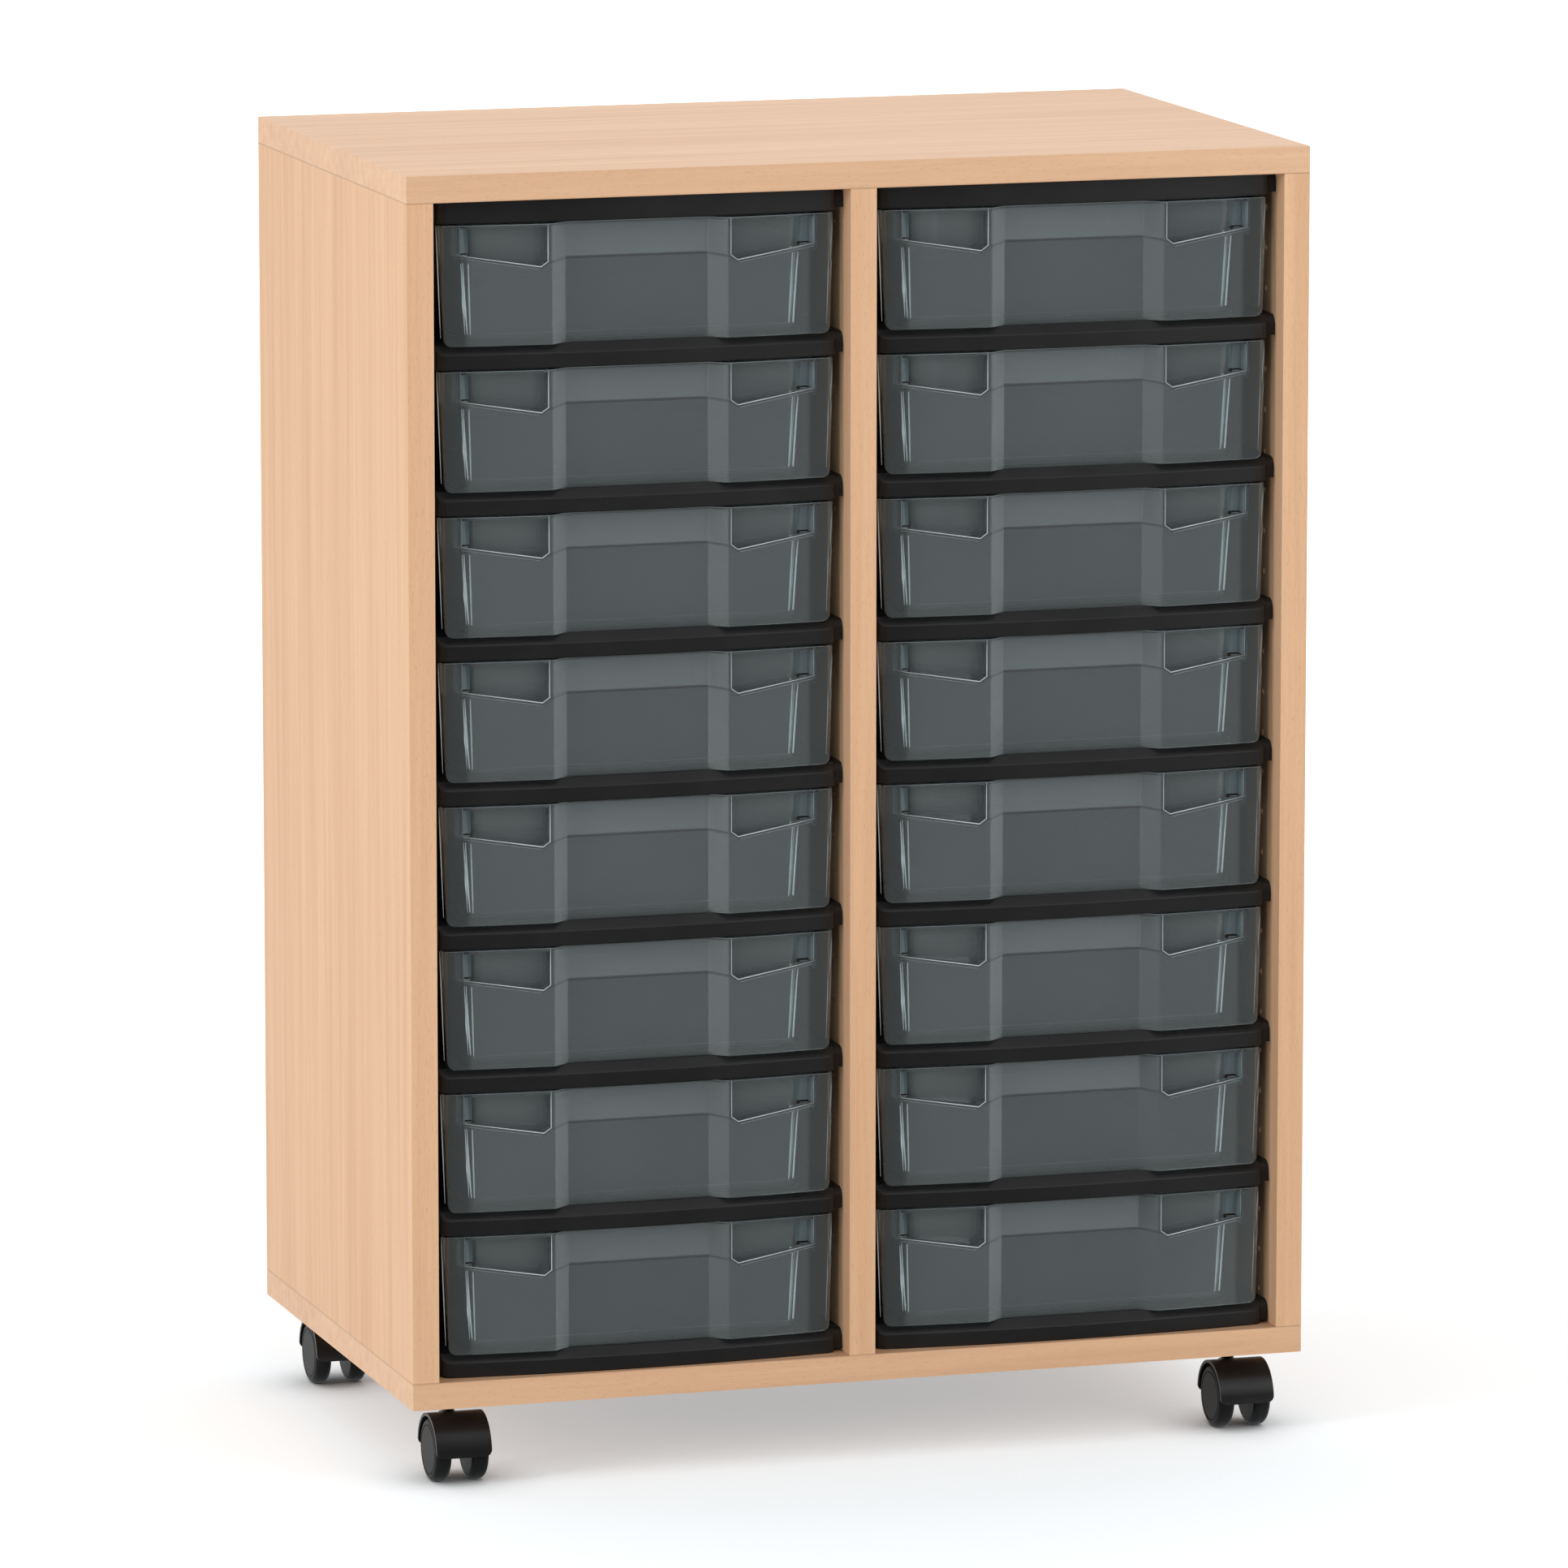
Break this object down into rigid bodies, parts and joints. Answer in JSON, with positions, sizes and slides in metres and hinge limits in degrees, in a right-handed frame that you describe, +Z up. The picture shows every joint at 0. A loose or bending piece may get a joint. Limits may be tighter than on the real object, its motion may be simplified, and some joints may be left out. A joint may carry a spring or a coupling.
{
  "type": "classroom tray storage unit",
  "caption": "Mobile wooden classroom cabinet on twin-wheel swivel casters, with two columns of clear pull-out trays that slide on black moulded shelves.",
  "frame": {"origin": "on the floor, under the middle of the cabinet's outline seen from above", "axes": "+Z up, +X to the right of someone who faces the trays, +Y from the front to the back, so the trays pull out towards -Y"},
  "size_m": [0.729, 0.45, 1.024],
  "materials": {
    "beech_board": "satin beech laminate with matching edge band",
    "shelf_plastic": "fine matt moulded black",
    "tray_plastic": "clear, faintly smoky gloss",
    "caster_housing": "satin moulded black",
    "caster_wheel": "satin moulded dark grey",
    "steel": "zinc-plated",
    "dowel_wood": "plain fluted beech"
  },
  "bodies": {
    "cabinet": {"left_side_panel": "beech_board", "right_side_panel": "beech_board", "centre_divider": "beech_board", "top_board": "beech_board", "bottom_board": "beech_board", "back_panel": "beech_board", "top_rail_left": "shelf_plastic", "top_rail_right": "shelf_plastic", "tray_shelf_left_1": "shelf_plastic", "tray_shelf_left_2": "shelf_plastic", "tray_shelf_left_3": "shelf_plastic", "tray_shelf_left_4": "shelf_plastic", "tray_shelf_left_5": "shelf_plastic", "tray_shelf_left_6": "shelf_plastic", "tray_shelf_left_7": "shelf_plastic", "tray_shelf_left_8": "shelf_plastic", "tray_shelf_right_1": "shelf_plastic", "tray_shelf_right_2": "shelf_plastic", "tray_shelf_right_3": "shelf_plastic", "tray_shelf_right_4": "shelf_plastic", "tray_shelf_right_5": "shelf_plastic", "tray_shelf_right_6": "shelf_plastic", "tray_shelf_right_7": "shelf_plastic", "tray_shelf_right_8": "shelf_plastic", "caster_stems": "steel", "caster_sockets": "steel", "carcass_dowels": "dowel_wood", "assembly_screws": "steel"},
    "tray_left_1": {"tray_left_1": "tray_plastic"},
    "tray_left_2": {"tray_left_2": "tray_plastic"},
    "tray_left_3": {"tray_left_3": "tray_plastic"},
    "tray_left_4": {"tray_left_4": "tray_plastic"},
    "tray_left_5": {"tray_left_5": "tray_plastic"},
    "tray_left_6": {"tray_left_6": "tray_plastic"},
    "tray_left_7": {"tray_left_7": "tray_plastic"},
    "tray_left_8": {"tray_left_8": "tray_plastic"},
    "tray_right_1": {"tray_right_1": "tray_plastic"},
    "tray_right_2": {"tray_right_2": "tray_plastic"},
    "tray_right_3": {"tray_right_3": "tray_plastic"},
    "tray_right_4": {"tray_right_4": "tray_plastic"},
    "tray_right_5": {"tray_right_5": "tray_plastic"},
    "tray_right_6": {"tray_right_6": "tray_plastic"},
    "tray_right_7": {"tray_right_7": "tray_plastic"},
    "tray_right_8": {"tray_right_8": "tray_plastic"},
    "caster_front_left_swivel": {"caster_front_left_housing": "caster_housing", "caster_front_left_axle": "steel"},
    "caster_front_left_wheel_left": {"caster_front_left_wheel_left": "caster_wheel"},
    "caster_front_left_wheel_right": {"caster_front_left_wheel_right": "caster_wheel"},
    "caster_front_right_swivel": {"caster_front_right_housing": "caster_housing", "caster_front_right_axle": "steel"},
    "caster_front_right_wheel_left": {"caster_front_right_wheel_left": "caster_wheel"},
    "caster_front_right_wheel_right": {"caster_front_right_wheel_right": "caster_wheel"},
    "caster_back_left_swivel": {"caster_back_left_housing": "caster_housing", "caster_back_left_axle": "steel"},
    "caster_back_left_wheel_left": {"caster_back_left_wheel_left": "caster_wheel"},
    "caster_back_left_wheel_right": {"caster_back_left_wheel_right": "caster_wheel"},
    "caster_back_right_swivel": {"caster_back_right_housing": "caster_housing", "caster_back_right_axle": "steel"},
    "caster_back_right_wheel_left": {"caster_back_right_wheel_left": "caster_wheel"},
    "caster_back_right_wheel_right": {"caster_back_right_wheel_right": "caster_wheel"}
  },
  "joints": [
    {"name": "tray_left_1_slide", "type": "slide", "parent": "cabinet", "child": "tray_left_1", "axis": [0, -1, 0], "range_m": [0, 0.33]},
    {"name": "tray_left_2_slide", "type": "slide", "parent": "cabinet", "child": "tray_left_2", "axis": [0, -1, 0], "range_m": [0, 0.33]},
    {"name": "tray_left_3_slide", "type": "slide", "parent": "cabinet", "child": "tray_left_3", "axis": [0, -1, 0], "range_m": [0, 0.33]},
    {"name": "tray_left_4_slide", "type": "slide", "parent": "cabinet", "child": "tray_left_4", "axis": [0, -1, 0], "range_m": [0, 0.33]},
    {"name": "tray_left_5_slide", "type": "slide", "parent": "cabinet", "child": "tray_left_5", "axis": [0, -1, 0], "range_m": [0, 0.33]},
    {"name": "tray_left_6_slide", "type": "slide", "parent": "cabinet", "child": "tray_left_6", "axis": [0, -1, 0], "range_m": [0, 0.33]},
    {"name": "tray_left_7_slide", "type": "slide", "parent": "cabinet", "child": "tray_left_7", "axis": [0, -1, 0], "range_m": [0, 0.33]},
    {"name": "tray_left_8_slide", "type": "slide", "parent": "cabinet", "child": "tray_left_8", "axis": [0, -1, 0], "range_m": [0, 0.33]},
    {"name": "tray_right_1_slide", "type": "slide", "parent": "cabinet", "child": "tray_right_1", "axis": [0, -1, 0], "range_m": [0, 0.33]},
    {"name": "tray_right_2_slide", "type": "slide", "parent": "cabinet", "child": "tray_right_2", "axis": [0, -1, 0], "range_m": [0, 0.33]},
    {"name": "tray_right_3_slide", "type": "slide", "parent": "cabinet", "child": "tray_right_3", "axis": [0, -1, 0], "range_m": [0, 0.33]},
    {"name": "tray_right_4_slide", "type": "slide", "parent": "cabinet", "child": "tray_right_4", "axis": [0, -1, 0], "range_m": [0, 0.33]},
    {"name": "tray_right_5_slide", "type": "slide", "parent": "cabinet", "child": "tray_right_5", "axis": [0, -1, 0], "range_m": [0, 0.33]},
    {"name": "tray_right_6_slide", "type": "slide", "parent": "cabinet", "child": "tray_right_6", "axis": [0, -1, 0], "range_m": [0, 0.33]},
    {"name": "tray_right_7_slide", "type": "slide", "parent": "cabinet", "child": "tray_right_7", "axis": [0, -1, 0], "range_m": [0, 0.33]},
    {"name": "tray_right_8_slide", "type": "slide", "parent": "cabinet", "child": "tray_right_8", "axis": [0, -1, 0], "range_m": [0, 0.33]},
    {"name": "caster_front_left_swivel", "type": "hinge", "parent": "cabinet", "child": "caster_front_left_swivel", "pos_m": [-0.322, -0.171, 0.05], "axis": [0, 0, 1], "continuous": true},
    {"name": "caster_front_left_wheel_left_roll", "type": "hinge", "parent": "caster_front_left_swivel", "child": "caster_front_left_wheel_left", "pos_m": [-0.322, -0.191, 0.025], "axis": [1, 0, 0], "continuous": true},
    {"name": "caster_front_left_wheel_right_roll", "type": "hinge", "parent": "caster_front_left_swivel", "child": "caster_front_left_wheel_right", "pos_m": [-0.322, -0.191, 0.025], "axis": [1, 0, 0], "continuous": true},
    {"name": "caster_front_right_swivel", "type": "hinge", "parent": "cabinet", "child": "caster_front_right_swivel", "pos_m": [0.322, -0.171, 0.05], "axis": [0, 0, 1], "continuous": true},
    {"name": "caster_front_right_wheel_left_roll", "type": "hinge", "parent": "caster_front_right_swivel", "child": "caster_front_right_wheel_left", "pos_m": [0.322, -0.191, 0.025], "axis": [1, 0, 0], "continuous": true},
    {"name": "caster_front_right_wheel_right_roll", "type": "hinge", "parent": "caster_front_right_swivel", "child": "caster_front_right_wheel_right", "pos_m": [0.322, -0.191, 0.025], "axis": [1, 0, 0], "continuous": true},
    {"name": "caster_back_left_swivel", "type": "hinge", "parent": "cabinet", "child": "caster_back_left_swivel", "pos_m": [-0.322, 0.193, 0.05], "axis": [0, 0, 1], "continuous": true},
    {"name": "caster_back_left_wheel_left_roll", "type": "hinge", "parent": "caster_back_left_swivel", "child": "caster_back_left_wheel_left", "pos_m": [-0.322, 0.173, 0.025], "axis": [1, 0, 0], "continuous": true},
    {"name": "caster_back_left_wheel_right_roll", "type": "hinge", "parent": "caster_back_left_swivel", "child": "caster_back_left_wheel_right", "pos_m": [-0.322, 0.173, 0.025], "axis": [1, 0, 0], "continuous": true},
    {"name": "caster_back_right_swivel", "type": "hinge", "parent": "cabinet", "child": "caster_back_right_swivel", "pos_m": [0.322, 0.193, 0.05], "axis": [0, 0, 1], "continuous": true},
    {"name": "caster_back_right_wheel_left_roll", "type": "hinge", "parent": "caster_back_right_swivel", "child": "caster_back_right_wheel_left", "pos_m": [0.322, 0.173, 0.025], "axis": [1, 0, 0], "continuous": true},
    {"name": "caster_back_right_wheel_right_roll", "type": "hinge", "parent": "caster_back_right_swivel", "child": "caster_back_right_wheel_right", "pos_m": [0.322, 0.173, 0.025], "axis": [1, 0, 0], "continuous": true}
  ]
}
